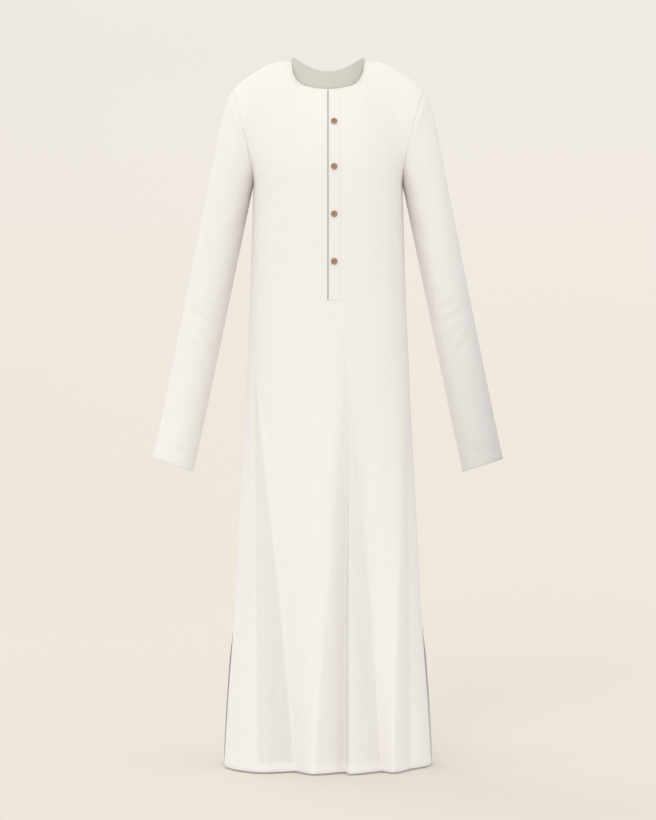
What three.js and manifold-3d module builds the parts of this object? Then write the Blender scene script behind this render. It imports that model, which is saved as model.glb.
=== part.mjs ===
import * as THREE from 'three';
import { mergeVertices } from 'three/addons/utils/BufferGeometryUtils.js';
import Module from 'manifold-3d';

// A full-length, long-sleeved kurta that stands in the hollow form it has when it is worn.
// Millimetres. X points to the wearer's left, Y to the back and Z up. The origin is the middle
// of the neck, level with the top of the shoulders.

// Cloth and seams
const CLOTH = 1.8; // wall of the body and the sleeves
const COLLAR_CLOTH = 2.4; // the collar is two layers
const STRIP_CLOTH = 1.4; // wall of each placket strip
const SEAM_GAP = 0.3; // between two sewn edges
const ARMHOLE_GAP = 0.4;
const LIFT = 0.35; // between a panel and what lies on it

// Levels
const HEM_Z = -1330;
const UNDERARM_Z = -236;
const SLIT_TOP_Z = -1058; // the side seams are open from here to the hem
const SLIT_SPREAD = 9; // width of that opening at the hem
const SLIT_FLARE = 4; // how far the back's open edge stands out past the front's
const SLIT_EASE = 70; // height over which it comes to stand out
const FLARE_REACH = 24; // the power that keeps it to the last columns

// Rows and columns of the walls
const LOW_ROWS = 20; // hem to underarm
const HIGH_ROWS = 10; // underarm to shoulder, and along each half of an armhole
const NECK_COLUMNS = 13; // of a panel's columns, those that end at the neckline
const SQUARENESS = 2.3; // of the body's section; 2 is an ellipse
const FOLD_SOFTNESS = 0.6; // 0 folds like paper, 1 rounds every crest and valley
const ELBOW_ROW = 10; // each sleeve is two solids that meet at this ring
const PANEL_PARTS = ['hem', 'skirt', 'trunk', 'yoke']; // a panel is one cloth in these solids,
const PANEL_ROWS = [7, 13, LOW_ROWS]; // which meet at these rows

// The body's section at each level: half its width, and its front, back and side seam in Y.
const BODY = [
  { z: -236, halfWidth: 142.9, frontY: -118, backY: 108, seamY: 8 },
  { z: -316, halfWidth: 144.8, frontY: -117, backY: 102, seamY: 6 },
  { z: -450, halfWidth: 148.6, frontY: -112, backY: 97, seamY: 3 },
  { z: -602, halfWidth: 155, frontY: -112, backY: 108, seamY: 2 },
  { z: -754, halfWidth: 162, frontY: -117, backY: 119, seamY: 2 },
  { z: -907, halfWidth: 170.5, frontY: -123, backY: 125, seamY: 2 },
  { z: -1059, halfWidth: 178, frontY: -129, backY: 131, seamY: 2 },
  { z: -1211, halfWidth: 188.6, frontY: -135, backY: 138, seamY: 2 },
  { z: -1330, halfWidth: 195.2, frontY: -140, backY: 144, seamY: 2 },
];

// The skirt's folds: each crest or valley runs straight from its top to the hem, where it stands
// `rise` proud of the plain section, or below it. `columns` lie between it and the line before.
const FRONT_FOLDS = [
  { topX: -136, topZ: -600, hemX: -122, rise: 7, columns: 4 },
  { topX: -124, topZ: -600, hemX: -66, rise: -32, columns: 3 },
  { topX: 20, topZ: -515, hemX: -26, rise: 8, columns: 3 },
  { topX: 34, topZ: -515, hemX: 32, rise: -26, columns: 3 },
  { topX: 41, topZ: -600, hemX: 39, rise: 7, columns: 1 },
  { topX: 53, topZ: -600, hemX: 108, rise: -24, columns: 4 },
  { topX: 142, topZ: -625, hemX: 116, rise: 7, columns: 4 },
  { topX: 150, topZ: -625, hemX: 166, rise: -18, columns: 3 },
];
const BACK_FOLDS = [
  { topX: -134, topZ: -700, hemX: -146, rise: 6, columns: 3 },
  { topX: -118, topZ: -660, hemX: -98, rise: -22, columns: 3 },
  { topX: -58, topZ: -600, hemX: -52, rise: 9, columns: 4 },
  { topX: -22, topZ: -560, hemX: -8, rise: -26, columns: 4 },
  { topX: 24, topZ: -640, hemX: 38, rise: 8, columns: 4 },
  { topX: 66, topZ: -620, hemX: 82, rise: -24, columns: 4 },
  { topX: 112, topZ: -690, hemX: 124, rise: 8, columns: 3 },
  { topX: 138, topZ: -720, hemX: 160, rise: -14, columns: 2 },
];
const LAST_COLUMNS = { front: 4, back: 2 }; // from the last fold line to the side seam
const FOLDS_BLEND = { fromZ: -360, toZ: -600 }; // even columns turn to fold lines here

// Shoulder seam, from the neck to the shoulder point, and the neckline's oval.
const SHOULDER = [
  { x: 69.5, z: 5 },
  { x: 84, z: 6.5 },
  { x: 100, z: 4.5 },
  { x: 118, z: -2 },
  { x: 140, z: -15 },
  { x: 162, z: -29 },
  { x: 184, z: -50 },
];
const SHOULDER_Y = { neck: 0, tip: 8 };
const NECK = { halfWidth: 69.5, halfDepth: 62 };
const NECK_FRONT = { pitZ: -59, dish: 22, rise: 42, power: 10 }; // a shallow bowl with upright sides
const NECK_BACK = { napeZ: -24, rise: 29, power: 4 };

// The yoke's curves leave the underarm line along `up` and the shoulder or neckline along `down`,
// by how far across a panel they stand, from its middle to its armhole.
const FRONT_YOKE = [
  { across: 0, upX: 0, upY: -2, upZ: 62, downX: 0, downY: -26, downZ: -42 },
  { across: 0.45, upX: 0, upY: -2, upZ: 62, downX: 4, downY: -56, downZ: -42 },
  { across: 0.72, upX: 0, upY: -12, upZ: 58, downX: 2, downY: -46, downZ: -28 },
  { across: 1, upX: -6, upY: -72, upZ: 30, downX: -12, downY: -78, downZ: -30 },
];
const BACK_YOKE = [
  { across: 0, upX: 0, upY: 4, upZ: 62, downX: 0, downY: 30, downZ: -34 },
  { across: 0.45, upX: 0, upY: 4, upZ: 62, downX: 8, downY: 66, downZ: -17 },
  { across: 0.72, upX: 0, upY: 14, upZ: 58, downX: 2, downY: 60, downZ: -26 },
  { across: 1, upX: -5, upY: 66, upZ: 30, downX: -10, downY: 72, downZ: -30 },
];

// The sleeve's outer and inner line, its middle in Y and half its depth, from armhole to cuff.
const SLEEVE = [
  { at: 0, outerX: 184, outerZ: -50, innerX: 142.9, innerZ: -236, midY: 8, halfDepth: 56 },
  { at: 0.03, outerX: 191, outerZ: -65, innerX: 143.7, innerZ: -238.5, midY: 8, halfDepth: 56.5 },
  { at: 0.07, outerX: 199, outerZ: -90, innerX: 144.8, innerZ: -243, midY: 8.5, halfDepth: 57 },
  { at: 0.13, outerX: 208.5, outerZ: -126, innerX: 147.2, innerZ: -253, midY: 9, halfDepth: 57 },
  { at: 0.2, outerX: 218.7, outerZ: -179, innerX: 152.3, innerZ: -277, midY: 10, halfDepth: 56 },
  { at: 0.3, outerX: 232.9, outerZ: -252, innerX: 163.5, innerZ: -332, midY: 11, halfDepth: 54 },
  { at: 0.45, outerX: 254.4, outerZ: -363, innerX: 184, innerZ: -433, midY: 12, halfDepth: 51 },
  { at: 0.6, outerX: 275.8, outerZ: -473, innerX: 204.1, innerZ: -532, midY: 9, halfDepth: 48 },
  { at: 0.8, outerX: 303.9, outerZ: -618, innerX: 230.5, innerZ: -662, midY: -3, halfDepth: 45 },
  { at: 1, outerX: 330.5, outerZ: -755, innerX: 254.3, innerZ: -779, midY: -18, halfDepth: 42 },
];
const SLEEVE_ROWS = 16; // past the cap's own four
const CAP_ROWS = [0, 0.03, 0.07, 0.13]; // closer rows where the sleeve leaves the armhole
const CAP_END = 0.3; // the section is a plain oval from here

// The collar's upper edge, as a mean height with two waves round the neck.
const COLLAR_TOP = { halfWidth: 68, halfDepth: 60, z: 0.1, tilt: 13.25, saddle: 12.4, backDrop: 3 };
const COLLAR_BOW = 1.2;

// Placket and buttons
const PLACKET = { fromX: 0, toX: 23.5, bottomZ: -463, belowNeck: 3 };
const UNDER_STRIP = { fromX: -1, toX: 24, bottomZ: -458, belowNeck: 4 };
const SLIT = { x: 11.7, width: 1, bottomZ: -452, reach: 500 };
const BUTTON = { x: 11.4, count: 4, topZ: -126.5, pitch: 88, radius: 6, height: 2.6, sides: 20 };

// A button's section from the middle of its back to the middle of its face, in shares of both.
const BUTTON_PROFILE = [
  { radius: 0, height: 0 },
  { radius: 0.7, height: 0 },
  { radius: 0.967, height: 0.3 },
  { radius: 1, height: 0.6 },
  { radius: 0.925, height: 1 },
  { radius: 0.7, height: 0.72 },
  { radius: 0, height: 0.64 },
];

const COLOURS = { cream: 0xf3eee8, grey: 0xd7d2ca, brown: 0x9e8065 };

const MIDDLE = new THREE.Vector3(0, 1, 0); // across both the side and the shoulder seams

const FRONT = {
  side: -1,
  centre: 'frontY',
  folds: FRONT_FOLDS,
  yoke: FRONT_YOKE,
  flare: 0,
  lastColumns: LAST_COLUMNS.front,
};
const BACK = {
  side: 1,
  centre: 'backY',
  folds: BACK_FOLDS,
  yoke: BACK_YOKE,
  flare: SLIT_FLARE,
  lastColumns: LAST_COLUMNS.back,
};

const lerp = THREE.MathUtils.lerp;
const clamp = THREE.MathUtils.clamp;

// One column of a table at a place between its rows, on a smooth curve through them.
function between(rows, by, at, column) {
  const last = rows.length - 1;
  const way = Math.sign(rows[last][by] - rows[0][by]);
  let i = 0;
  while (i < last - 1 && (at - rows[i + 1][by]) * way > 0) i += 1;
  const slope = (k) => {
    const a = rows[Math.max(k - 1, 0)];
    const b = rows[Math.min(k + 1, last)];
    return (b[column] - a[column]) / (b[by] - a[by]);
  };
  const width = rows[i + 1][by] - rows[i][by];
  const t = clamp((at - rows[i][by]) / width, 0, 1);
  const start = rows[i][column] * (1 + 2 * t) * (1 - t) ** 2;
  const end = rows[i + 1][column] * (3 - 2 * t) * t ** 2;
  const bends = slope(i) * t * (1 - t) ** 2 - slope(i + 1) * (1 - t) * t ** 2;
  return start + end + bends * width;
}

function bezier(a, b, c, d, t) {
  const u = 1 - t;
  const mix = (k) => a[k] * u ** 3 + 3 * b[k] * u * u * t + 3 * c[k] * u * t * t + d[k] * t ** 3;
  return new THREE.Vector3(mix('x'), mix('y'), mix('z'));
}

// The gap between the front and the back at a side seam, which opens into the slit.
function sideGap(z) {
  const open = clamp((SLIT_TOP_Z - z) / (SLIT_TOP_Z - HEM_Z), 0, 1);
  return SEAM_GAP + SLIT_SPREAD * open;
}

// A fold line's place round the section, as an angle from the middle of the panel.
function foldAngle(fold, evenAngle, z) {
  const down = clamp((fold.topZ - z) / (fold.topZ - HEM_Z), 0, 1);
  const level = Math.min(z, fold.topZ);
  const share = lerp(fold.topX, fold.hemX, down) / between(BODY, 'z', level, 'halfWidth');
  const angle = Math.asin(Math.sign(share) * Math.abs(share) ** (SQUARENESS / 2));
  return lerp(evenAngle, angle, THREE.MathUtils.smoothstep(-z, -FOLDS_BLEND.fromZ, -FOLDS_BLEND.toZ));
}

function foldRise(fold, z) {
  return fold.rise * clamp((fold.topZ - z) / (fold.topZ - HEM_Z), 0, 1);
}

// The lines that a panel's columns are shared out between: its fold lines and both side seams.
function panelLines(panel) {
  const total = panel.folds.reduce((sum, fold) => sum + fold.columns, panel.lastColumns);
  const edge = { topX: 0, topZ: 0, hemX: 0, rise: 0 };
  const lines = [{ fold: edge, column: 0, edge: -1 }];
  let column = 0;
  for (const fold of panel.folds) {
    column += fold.columns;
    lines.push({ fold, column, edge: 0 });
  }
  lines.push({ fold: edge, column: total, edge: 1 });
  return lines;
}

// A point of the panel's outer face between hem and underarm.
function skirtPoint(panel, lines, column, z) {
  const total = lines[lines.length - 1].column;
  let k = 0;
  while (column > lines[k + 1].column) k += 1;
  const angleOf = (line) => {
    const even = (line.column / total - 0.5) * Math.PI;
    return line.edge === 0 ? foldAngle(line.fold, even, z) : even;
  };
  const share = (column - lines[k].column) / (lines[k + 1].column - lines[k].column);
  const soft = lerp(share, THREE.MathUtils.smoothstep(share, 0, 1), FOLD_SOFTNESS);
  const angle = lerp(angleOf(lines[k]), angleOf(lines[k + 1]), share);
  const rise = lerp(foldRise(lines[k].fold, z), foldRise(lines[k + 1].fold, z), soft);
  const halfWidth = between(BODY, 'z', z, 'halfWidth');
  const seamY = between(BODY, 'z', z, 'seamY');
  const depth = Math.abs(between(BODY, 'z', z, panel.centre) - seamY);
  const x = Math.sign(angle) * Math.abs(Math.sin(angle)) ** (2 / SQUARENESS);
  const y = panel.side * Math.abs(Math.cos(angle)) ** (2 / SQUARENESS);
  const out = new THREE.Vector2(
    (Math.sign(x) * Math.abs(x) ** (SQUARENESS - 1)) / halfWidth,
    (panel.side * Math.abs(y) ** (SQUARENESS - 1)) / depth,
  ).normalize();
  const seam = seamY + (panel.side * sideGap(z)) / 2;
  const flare = panel.flare * clamp((SLIT_TOP_Z - z) / SLIT_EASE, 0, 1) * x ** FLARE_REACH;
  const wide = halfWidth * x + out.x * rise + Math.sign(x) * flare;
  return new THREE.Vector3(wide, seam + depth * y + out.y * rise, z);
}

// The neckline, from the pit at angle 0 round to the nape at half a turn.
function neckPoint(angle) {
  const wide = Math.sin(angle);
  const deep = Math.cos(angle);
  const bowl = NECK_FRONT.dish * wide ** 2 + NECK_FRONT.rise * wide ** NECK_FRONT.power;
  const front = NECK_FRONT.pitZ + bowl;
  const back = NECK_BACK.napeZ + NECK_BACK.rise * wide ** NECK_BACK.power;
  const z = deep > 0 ? front : back;
  return new THREE.Vector3(NECK.halfWidth * wide, SHOULDER_Y.neck - NECK.halfDepth * deep, z);
}

// A point of the panel's upper edge: the shoulder seam, or the neckline between the two seams.
function upperEdge(panel, across, neckShare) {
  const half = (panel.side * SEAM_GAP) / 2;
  if (Math.abs(across) < neckShare) {
    const turn = (across / neckShare) * (Math.PI / 2);
    const point = neckPoint(panel.side < 0 ? turn : Math.PI - turn);
    point.y += half;
    return point;
  }
  const t = (1 - Math.abs(across)) / (1 - neckShare);
  const tip = SHOULDER[SHOULDER.length - 1];
  const x = lerp(tip.x, SHOULDER[0].x, t);
  const y = lerp(SHOULDER_Y.tip, SHOULDER_Y.neck, t) + half;
  return new THREE.Vector3(Math.sign(across) * x, y, between(SHOULDER, 'x', x, 'z'));
}

// A point of the panel's outer face between underarm and shoulder.
function yokePoint(panel, lines, column, rise) {
  const total = lines[lines.length - 1].column;
  const across = (2 * column) / total - 1;
  const handle = (name) => between(panel.yoke, 'across', Math.abs(across), name);
  const low = skirtPoint(panel, lines, column, UNDERARM_Z);
  const high = upperEdge(panel, across, NECK_COLUMNS / total);
  const away = Math.sign(across);
  const up = new THREE.Vector3(away * handle('upX'), handle('upY'), handle('upZ'));
  const down = new THREE.Vector3(away * handle('downX'), handle('downY'), handle('downZ'));
  return bezier(low, up.add(low), down.add(high), high, rise);
}

// The panel's outer face as rows of points, from the hem up.
function panelGrid(panel) {
  const lines = panelLines(panel);
  const total = lines[lines.length - 1].column;
  const grid = [];
  for (let row = 0; row <= LOW_ROWS + HIGH_ROWS; row += 1) {
    const points = [];
    for (let column = 0; column <= total; column += 1) {
      const z = lerp(HEM_Z, UNDERARM_Z, Math.min(row / LOW_ROWS, 1));
      const rise = (row - LOW_ROWS) / HIGH_ROWS;
      points.push(
        rise > 0 ? yokePoint(panel, lines, column, rise) : skirtPoint(panel, lines, column, z),
      );
    }
    grid.push(points);
  }
  return grid;
}

// Unit normals of a grid, on the side that `sign` picks. A ring's columns run round.
function gridNormals(grid, sign, ring) {
  const rows = grid.length;
  const columns = grid[0].length;
  const at = (row, column) => {
    const wrapped = ring ? (column + columns) % columns : clamp(column, 0, columns - 1);
    return grid[clamp(row, 0, rows - 1)][wrapped];
  };
  return grid.map((points, row) => points.map((_, column) => {
    const across = at(row, column + 1).clone().sub(at(row, column - 1));
    const along = at(row + 1, column).clone().sub(at(row - 1, column));
    return across.cross(along).normalize().multiplyScalar(sign);
  }));
}

// The step into the wall, kept inside the plane of a seam where `plane` gives one.
function inward(normal, thickness, plane) {
  if (!plane) return normal.clone().multiplyScalar(-thickness);
  const flat = normal.clone().addScaledVector(plane, -normal.dot(plane)).normalize();
  return flat.multiplyScalar(-thickness / flat.dot(normal));
}

// A closed body between an outer and an inner grid of points.
function wallBetween(outer, inner, ring) {
  const rows = outer.length;
  const columns = outer[0].length;
  const positions = [...outer.flat(), ...inner.flat()].flatMap((p) => [p.x, p.y, p.z]);
  const index = [];
  const spans = ring ? columns : columns - 1;
  const id = (layer, row, column) => layer * rows * columns + row * columns + (column % columns);
  const quad = (a, b, c, d) => index.push(a, b, c, a, c, d);
  for (let row = 0; row < rows - 1; row += 1) {
    for (let k = 0; k < spans; k += 1) {
      quad(id(0, row, k), id(0, row, k + 1), id(0, row + 1, k + 1), id(0, row + 1, k));
      index.push(id(1, row, k), id(1, row + 1, k + 1), id(1, row, k + 1));
      index.push(id(1, row, k), id(1, row + 1, k), id(1, row + 1, k + 1));
    }
  }
  for (let k = 0; k < spans; k += 1) {
    quad(id(0, 0, k + 1), id(0, 0, k), id(1, 0, k), id(1, 0, k + 1));
    quad(id(0, rows - 1, k), id(0, rows - 1, k + 1), id(1, rows - 1, k + 1), id(1, rows - 1, k));
  }
  for (let row = 0; row < rows - 1 && !ring; row += 1) {
    const last = columns - 1;
    quad(id(0, row, 0), id(0, row + 1, 0), id(1, row + 1, 0), id(1, row, 0));
    quad(id(0, row + 1, last), id(0, row, last), id(1, row, last), id(1, row + 1, last));
  }
  return facingOut(positions, index);
}

// The geometry with its triangles turned so that the enclosed volume is positive.
function facingOut(positions, index) {
  const corner = (i) => new THREE.Vector3().fromArray(positions, index[i] * 3);
  let volume = 0;
  for (let i = 0; i < index.length; i += 3) {
    volume += corner(i).dot(corner(i + 1).cross(corner(i + 2)));
  }
  const geometry = new THREE.BufferGeometry();
  geometry.setAttribute('position', new THREE.Float32BufferAttribute(positions, 3));
  geometry.setIndex(volume > 0 ? index : index.reverse());
  geometry.computeVertexNormals();
  return geometry;
}

// A wall's outer and inner grids on either side of one of their rows, parted there by a seam's gap.
function splitAt(grids, row) {
  const shortOf = (points, towards) => points.map((point, k) => {
    const way = towards[k].clone().sub(point).normalize();
    return point.clone().addScaledVector(way, SEAM_GAP / 2);
  });
  return [
    grids.map((grid) => [...grid.slice(0, row), shortOf(grid[row], grid[row - 1])]),
    grids.map((grid) => [shortOf(grid[row], grid[row + 1]), ...grid.slice(row + 1)]),
  ];
}

// A panel's wall as one geometry between each two of the rows that it is parted at.
function panelWalls({ grid, inner }) {
  const walls = [];
  let rest = [grid, inner];
  let from = 0;
  for (const row of PANEL_ROWS) {
    const [below, above] = splitAt(rest, row - from);
    walls.push(wallBetween(...below, false));
    rest = above;
    from = row;
  }
  return [...walls, wallBetween(...rest, false)];
}

// The plane that a panel's edge is mitred in: the seam's, on the side and shoulder seams.
function panelSeam(row, column, total) {
  const side = column === 0 || column === total;
  const neckStart = (total - NECK_COLUMNS) / 2;
  const shoulder = column <= neckStart || column >= total - neckStart;
  const onTop = row === LOW_ROWS + HIGH_ROWS && shoulder;
  return (side && row <= LOW_ROWS) || onTop ? MIDDLE : null;
}

// A panel as its outer grid, its normals and its inner grid.
function makePanel(panel) {
  const grid = panelGrid(panel);
  const normals = gridNormals(grid, -panel.side, false);
  const total = grid[0].length - 1;
  const inner = grid.map((points, row) => points.map((point, column) => (
    point.clone().add(inward(normals[row][column], CLOTH, panelSeam(row, column, total)))
  )));
  return { grid, normals, inner };
}

// One armhole edge of the wearer's left side, from the underarm up to the shoulder point.
function armholePoint(panel, rise) {
  const lines = panelLines(panel);
  const point = yokePoint(panel, lines, lines[lines.length - 1].column, rise);
  point.y -= (panel.side * SEAM_GAP) / 2;
  return point;
}

// The way the armhole faces, away from the body and up.
function armholeNormal() {
  const tip = SLEEVE[0];
  return new THREE.Vector3(tip.outerZ - tip.innerZ, 0, tip.innerX - tip.outerX).normalize();
}

// The sleeve's outer face, in rings that start at the underarm and run up the front.
function sleeveGrid() {
  const half = HIGH_ROWS;
  const tip = SLEEVE[0];
  const out = armholeNormal();
  const reach = new THREE.Vector3(tip.outerX - tip.innerX, 0, tip.outerZ - tip.innerZ).divideScalar(2);
  const middle = new THREE.Vector3(tip.outerX + tip.innerX, 2 * tip.midY, tip.outerZ + tip.innerZ);
  middle.divideScalar(2);
  const loop = [];
  for (let k = 0; k < 2 * half; k += 1) {
    const front = k <= half;
    const from = armholePoint(front ? FRONT : BACK, front ? k / half : 2 - k / half).sub(middle);
    loop.push({
      high: from.dot(reach) / reach.lengthSq(),
      deep: from.y / tip.halfDepth,
      bow: from.dot(out),
      angle: (k / half) * Math.PI,
    });
  }
  const places = [...CAP_ROWS];
  const lastCap = CAP_ROWS[CAP_ROWS.length - 1];
  for (let row = 1; row <= SLEEVE_ROWS; row += 1) places.push(lerp(lastCap, 1, row / SLEEVE_ROWS));
  return places.map((at) => loop.map((column) => {
    const value = (name) => between(SLEEVE, 'at', at, name);
    const oval = THREE.MathUtils.smoothstep(at, 0, CAP_END);
    const high = lerp(column.high, -Math.cos(column.angle), oval);
    const deep = lerp(column.deep, -Math.sin(column.angle), oval);
    const x = lerp(value('innerX'), value('outerX'), (1 + high) / 2);
    const z = lerp(value('innerZ'), value('outerZ'), (1 + high) / 2);
    const point = new THREE.Vector3(x, value('midY') + deep * value('halfDepth'), z);
    return point.addScaledVector(out, column.bow * (1 - oval) + ARMHOLE_GAP);
  }));
}

// The sleeve's wall as one geometry above the elbow and one below it.
function makeSleeve() {
  const grid = sleeveGrid();
  const normals = gridNormals(grid, -1, true);
  const out = armholeNormal();
  const inner = grid.map((points, row) => points.map((point, column) => {
    const normal = normals[row][column];
    const seam = row === 0 && normal.dot(out) > 0 ? out : null;
    return point.clone().add(inward(normal, CLOTH, seam));
  }));
  return splitAt([grid, inner], ELBOW_ROW).map((halves) => wallBetween(...halves, true));
}

function makeCollar() {
  const columns = 2 * NECK_COLUMNS;
  const turns = Array.from({ length: columns }, (_, k) => (k / NECK_COLUMNS - 0.5) * Math.PI);
  const base = turns.map((turn) => neckPoint(turn).add(new THREE.Vector3(0, 0, SEAM_GAP)));
  const top = turns.map((turn) => {
    const waves = COLLAR_TOP.tilt * Math.cos(turn) + COLLAR_TOP.saddle * Math.cos(2 * turn);
    const drop = COLLAR_TOP.backDrop * Math.max(-Math.cos(turn), 0) ** 2;
    return new THREE.Vector3(
      COLLAR_TOP.halfWidth * Math.sin(turn),
      SHOULDER_Y.neck - COLLAR_TOP.halfDepth * Math.cos(turn),
      COLLAR_TOP.z - waves - drop,
    );
  });
  const middle = turns.map((turn, k) => {
    const bow = new THREE.Vector3(Math.sin(turn), -Math.cos(turn), 0).multiplyScalar(COLLAR_BOW);
    return base[k].clone().lerp(top[k], 0.5).add(bow);
  });
  const grid = [base, middle, top];
  const inner = grid.map((points) => points.map((point, k) => {
    const out = new THREE.Vector3(
      Math.sin(turns[k]) / NECK.halfWidth,
      -Math.cos(turns[k]) / NECK.halfDepth,
      0,
    );
    return point.clone().addScaledVector(out.normalize(), -COLLAR_CLOTH);
  }));
  return wallBetween(grid, inner, true);
}

// Where the front stands at this X in each of its rows, with the normal there.
function frontLine(front, x) {
  return front.grid.map((points, row) => {
    let k = 0;
    while (points[k + 1].x < x) k += 1;
    const t = (x - points[k].x) / (points[k + 1].x - points[k].x);
    const point = points[k].clone().lerp(points[k + 1], t);
    const normal = front.normals[row][k].clone().lerp(front.normals[row][k + 1], t).normalize();
    return { point, normal };
  });
}

// The part of such a line between two levels.
function cutLine(line, bottomZ, topZ) {
  const at = (z) => {
    let k = 0;
    while (line[k + 1].point.z < z) k += 1;
    const t = (z - line[k].point.z) / (line[k + 1].point.z - line[k].point.z);
    return {
      point: line[k].point.clone().lerp(line[k + 1].point, t),
      normal: line[k].normal.clone().lerp(line[k + 1].normal, t).normalize(),
    };
  };
  const inside = line.filter(({ point }) => point.z > bottomZ + 1 && point.z < topZ - 1);
  return [at(bottomZ), ...inside, at(topZ)];
}

// A strip on the front, or behind it, made from the front's own points moved along its normals.
function makeStrip(front, strip, nearStep, farStep) {
  const across = [0, 0.5, 1].map((share) => lerp(strip.fromX, strip.toX, share));
  const lines = across.map((x) => {
    const line = frontLine(front, x);
    const edgeZ = line[line.length - 1].point.z - strip.belowNeck;
    return cutLine(line, strip.bottomZ, edgeZ);
  });
  const rows = Math.min(...lines.map((line) => line.length));
  const layer = (step) => Array.from({ length: rows }, (_, row) => lines.map((line) => {
    const { point, normal } = line[row];
    return point.clone().addScaledVector(normal, step);
  }));
  return wallBetween(layer(farStep), layer(nearStep), false);
}

// A flat shirt button with a rounded rim and a dished face, its axis along Y.
function makeButton() {
  const profile = BUTTON_PROFILE.map(({ radius, height }) => (
    new THREE.Vector2(radius * BUTTON.radius, height * BUTTON.height)
  ));
  return new THREE.LatheGeometry(profile, BUTTON.sides);
}

// The front's walls with the centre slit, which the placket's strips cover. It parts the yoke.
async function slitFront([hem, skirt, trunk, yoke]) {
  const wasm = await Module();
  wasm.setup();
  const solid = (source) => {
    const plain = source.clone();
    plain.deleteAttribute('normal');
    plain.deleteAttribute('uv');
    const merged = mergeVertices(plain);
    return new wasm.Manifold(new wasm.Mesh({
      numProp: 3,
      vertProperties: new Float32Array(merged.attributes.position.array),
      triVerts: new Uint32Array(merged.index.array),
    }));
  };
  const cut = (wall, fromX, toX) => {
    const knife = new THREE.BoxGeometry(toX - fromX, 2 * SLIT.reach, SLIT.reach);
    knife.translate((fromX + toX) / 2, 0, SLIT.bottomZ + SLIT.reach / 2);
    const rest = solid(wall).subtract(solid(knife)).getMesh();
    return facingOut(Array.from(rest.vertProperties), Array.from(rest.triVerts));
  };
  const edges = [SLIT.x - SLIT.width / 2, SLIT.x + SLIT.width / 2];
  return {
    hem,
    skirt,
    trunk: cut(trunk, edges[0], edges[1]),
    yoke_left: cut(yoke, -SLIT.reach, edges[1]),
    yoke_right: cut(yoke, edges[0], SLIT.reach),
  };
}

function material(color, roughness) {
  return new THREE.MeshStandardMaterial({ color, roughness, metalness: 0 });
}

const cotton = material(COLOURS.cream, 0.9);
const greyCotton = material(COLOURS.grey, 0.9);
const buttonShell = material(COLOURS.brown, 0.45);

const kurta = new THREE.Group();

function add(name, geometry, finish) {
  const mesh = new THREE.Mesh(geometry, finish);
  mesh.name = name;
  kurta.add(mesh);
  return mesh;
}

const front = makePanel(FRONT);
const frontWalls = await slitFront(panelWalls(front));
Object.entries(frontWalls).forEach(([part, wall]) => add(`front_${part}`, wall, cotton));
panelWalls(makePanel(BACK)).forEach((wall, k) => add(`back_${PANEL_PARTS[k]}`, wall, cotton));
add('collar', makeCollar(), greyCotton);

const sleeve = makeSleeve();
['upper', 'lower'].forEach((part, k) => {
  const mirrored = Array.from(sleeve[k].attributes.position.array, (v, i) => (i % 3 ? v : -v));
  add(`sleeve_left_${part}`, sleeve[k], cotton);
  add(`sleeve_right_${part}`, facingOut(mirrored, Array.from(sleeve[k].index.array)), cotton);
});

add('placket_over', makeStrip(front, PLACKET, LIFT, LIFT + STRIP_CLOTH), cotton);
const behind = -(CLOTH + LIFT);
add('placket_under', makeStrip(front, UNDER_STRIP, behind - STRIP_CLOTH, behind), cotton);

const buttonLine = frontLine(front, BUTTON.x);
for (let k = 0; k < BUTTON.count; k += 1) {
  const z = BUTTON.topZ - k * BUTTON.pitch;
  const { point, normal } = cutLine(buttonLine, z, z + BUTTON.radius)[0];
  const button = add(`button_${k + 1}`, makeButton(), buttonShell);
  button.position.copy(point).addScaledVector(normal, 2 * LIFT + STRIP_CLOTH);
  button.quaternion.setFromUnitVectors(MIDDLE, normal);
}

export default kurta;
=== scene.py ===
"""The looks of a full-length cream kurta, filled out as if worn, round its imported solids.

The frame is the solids': X to the wearer's left, Y to the back, Z up, and the origin in the
middle of the neck. Sizes are worked out in millimetres here and every mesh is made in metres.
The cloth follows the solids' own tables and formulas, thinner and at a finer pitch.
"""

import math

import bmesh
import bpy
import numpy as np
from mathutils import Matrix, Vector


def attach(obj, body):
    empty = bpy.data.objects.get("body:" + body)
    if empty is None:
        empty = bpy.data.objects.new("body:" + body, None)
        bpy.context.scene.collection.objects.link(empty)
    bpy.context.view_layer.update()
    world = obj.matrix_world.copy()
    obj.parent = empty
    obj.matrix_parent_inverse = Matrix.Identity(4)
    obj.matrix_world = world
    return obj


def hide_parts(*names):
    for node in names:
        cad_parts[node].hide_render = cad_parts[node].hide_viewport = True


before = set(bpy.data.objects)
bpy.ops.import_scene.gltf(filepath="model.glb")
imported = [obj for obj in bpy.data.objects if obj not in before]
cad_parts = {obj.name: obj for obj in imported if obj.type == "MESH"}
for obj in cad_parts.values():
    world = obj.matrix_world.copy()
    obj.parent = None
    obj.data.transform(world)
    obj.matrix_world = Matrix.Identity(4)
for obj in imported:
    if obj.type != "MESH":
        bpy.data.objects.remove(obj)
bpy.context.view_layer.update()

MM = 0.001

# ---- Sizes of the garment, in millimetres ----

CLOTH = 1
COLLAR_CLOTH = 2.3
STRIP_CLOTH = 1.1
SEAM_GAP = 0.1
ARMHOLE_GAP = 0.1
LIFT = 0.35  # between the front and the strip behind it

HEM_Z = -1330
UNDERARM_Z = -236
SLIT_TOP_Z = -1058  # the side seams are open from here to the hem
SLIT_SPREAD = 9  # width of that opening at the hem
SLIT_FLARE = 4  # how far the back's open edge stands out past the front's
SLIT_EASE = 70  # height over which it comes to stand out
FLARE_REACH = 24  # the power that keeps it to the last columns
PANEL_COLUMNS = 29  # of each panel, from side seam to side seam
NECK_COLUMNS = 13  # of those, the ones that end at the neckline
SQUARENESS = 2.3  # of the body's section; 2 is an ellipse
FOLD_SOFTNESS = 0.3  # 0 folds like paper, 1 rounds every crest and valley


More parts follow.
